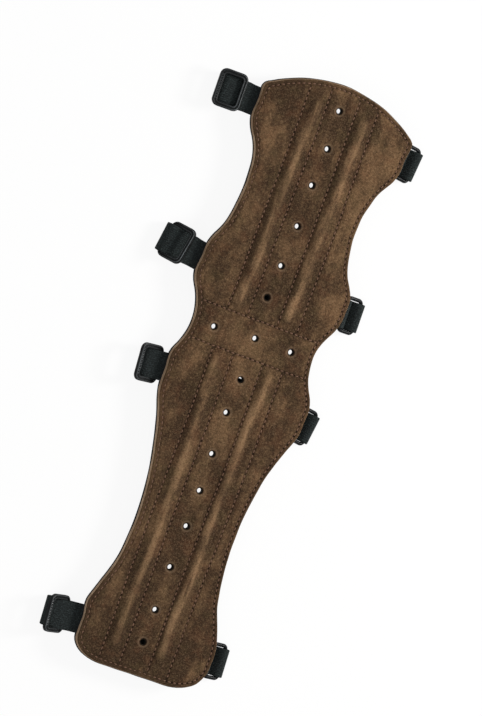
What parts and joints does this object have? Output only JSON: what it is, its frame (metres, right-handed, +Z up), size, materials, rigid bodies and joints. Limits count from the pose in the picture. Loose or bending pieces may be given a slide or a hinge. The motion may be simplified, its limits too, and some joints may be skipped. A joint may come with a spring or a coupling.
{
  "type": "archery arm guard",
  "caption": "Full-length suede archery arm guard that folds at the elbow, with stiffened panels, vent holes and elastic straps on adjuster buckles and rings.",
  "frame": {"origin": "middle of the guard's footprint, on the surface that its straps lie on", "axes": "+Z up out of the suede, +Y along the guard from the wrist to the shoulder, +X towards the rings"},
  "size_m": [0.136, 0.37, 0.0152],
  "materials": {
    "suede": "mottled brown suede, napped and matte",
    "leather_back": "tan leather with raw cut edges",
    "lining": "black woven lining, matte",
    "stay_steel": "plain spring steel strip",
    "elastic": "black ribbed woven elastic",
    "buckle_plastic": "charcoal moulded plastic, satin",
    "ring_metal": "black enamelled wire, glossy"
  },
  "bodies": {
    "forearm_panel": {"face_forearm": "suede", "face_elbow": "suede", "backing_forearm": "leather_back", "backing_elbow": "leather_back", "lining_forearm": "lining", "lining_elbow": "lining", "stay_forearm_left": "stay_steel", "stay_forearm_right": "stay_steel", "strap_forearm": "elastic", "strap_wrist": "elastic", "ring_tab_forearm": "elastic", "ring_tab_wrist": "elastic"},
    "upper_arm_panel": {"face_upper": "suede", "backing_upper": "leather_back", "lining_upper": "lining", "stay_upper_left": "stay_steel", "stay_upper_right": "stay_steel", "strap_shoulder": "elastic", "strap_biceps": "elastic", "ring_tab_shoulder": "elastic", "ring_tab_biceps": "elastic"},
    "buckle_shoulder": {"buckle_shoulder": "buckle_plastic"},
    "buckle_biceps": {"buckle_biceps": "buckle_plastic"},
    "buckle_forearm": {"buckle_forearm": "buckle_plastic"},
    "buckle_wrist": {"buckle_wrist": "buckle_plastic"},
    "ring_shoulder": {"ring_shoulder": "ring_metal"},
    "ring_biceps": {"ring_biceps": "ring_metal"},
    "ring_forearm": {"ring_forearm": "ring_metal"},
    "ring_wrist": {"ring_wrist": "ring_metal"}
  },
  "joints": [
    {"name": "elbow_fold", "type": "hinge", "parent": "forearm_panel", "child": "upper_arm_panel", "pos_m": [0.00624, 0.026, 0.0112], "axis": [1, 0, 0], "range_deg": [0, 70], "deforming": ["face_elbow", "backing_elbow", "lining_elbow"]},
    {"name": "buckle_shoulder_slide", "type": "slide", "parent": "upper_arm_panel", "child": "buckle_shoulder", "axis": [0.999, -0.0436, 0], "range_m": [0, 0.007]},
    {"name": "buckle_biceps_slide", "type": "slide", "parent": "upper_arm_panel", "child": "buckle_biceps", "axis": [0.9914, -0.1305, 0], "range_m": [0, 0.008]},
    {"name": "buckle_forearm_slide", "type": "slide", "parent": "forearm_panel", "child": "buckle_forearm", "axis": [0.9969, 0.0785, 0], "range_m": [0, 0.004]},
    {"name": "buckle_wrist_slide", "type": "slide", "parent": "forearm_panel", "child": "buckle_wrist", "axis": [0.9972, 0.075, 0], "range_m": [0, 0.007]},
    {"name": "ring_shoulder_swing", "type": "hinge", "parent": "upper_arm_panel", "child": "ring_shoulder", "pos_m": [0.05477, 0.15571, 0.0063], "axis": [-0.0802, -0.9968, 0], "range_deg": [0, 30], "deforming": ["strap_shoulder"]},
    {"name": "ring_biceps_swing", "type": "hinge", "parent": "upper_arm_panel", "child": "ring_biceps", "pos_m": [0.05427, 0.05892, 0.0063], "axis": [0.0244, -0.9997, 0], "range_deg": [0, 30], "deforming": ["strap_biceps"]},
    {"name": "ring_forearm_swing", "type": "hinge", "parent": "forearm_panel", "child": "ring_forearm", "pos_m": [0.05098, -0.01115, 0.0063], "axis": [-0.1253, -0.9921, 0], "range_deg": [0, 30], "deforming": ["strap_forearm"]},
    {"name": "ring_wrist_swing", "type": "hinge", "parent": "forearm_panel", "child": "ring_wrist", "pos_m": [0.05087, -0.16034, 0.0063], "axis": [0.061, -0.9981, 0], "range_deg": [0, 30], "deforming": ["strap_wrist"]}
  ]
}
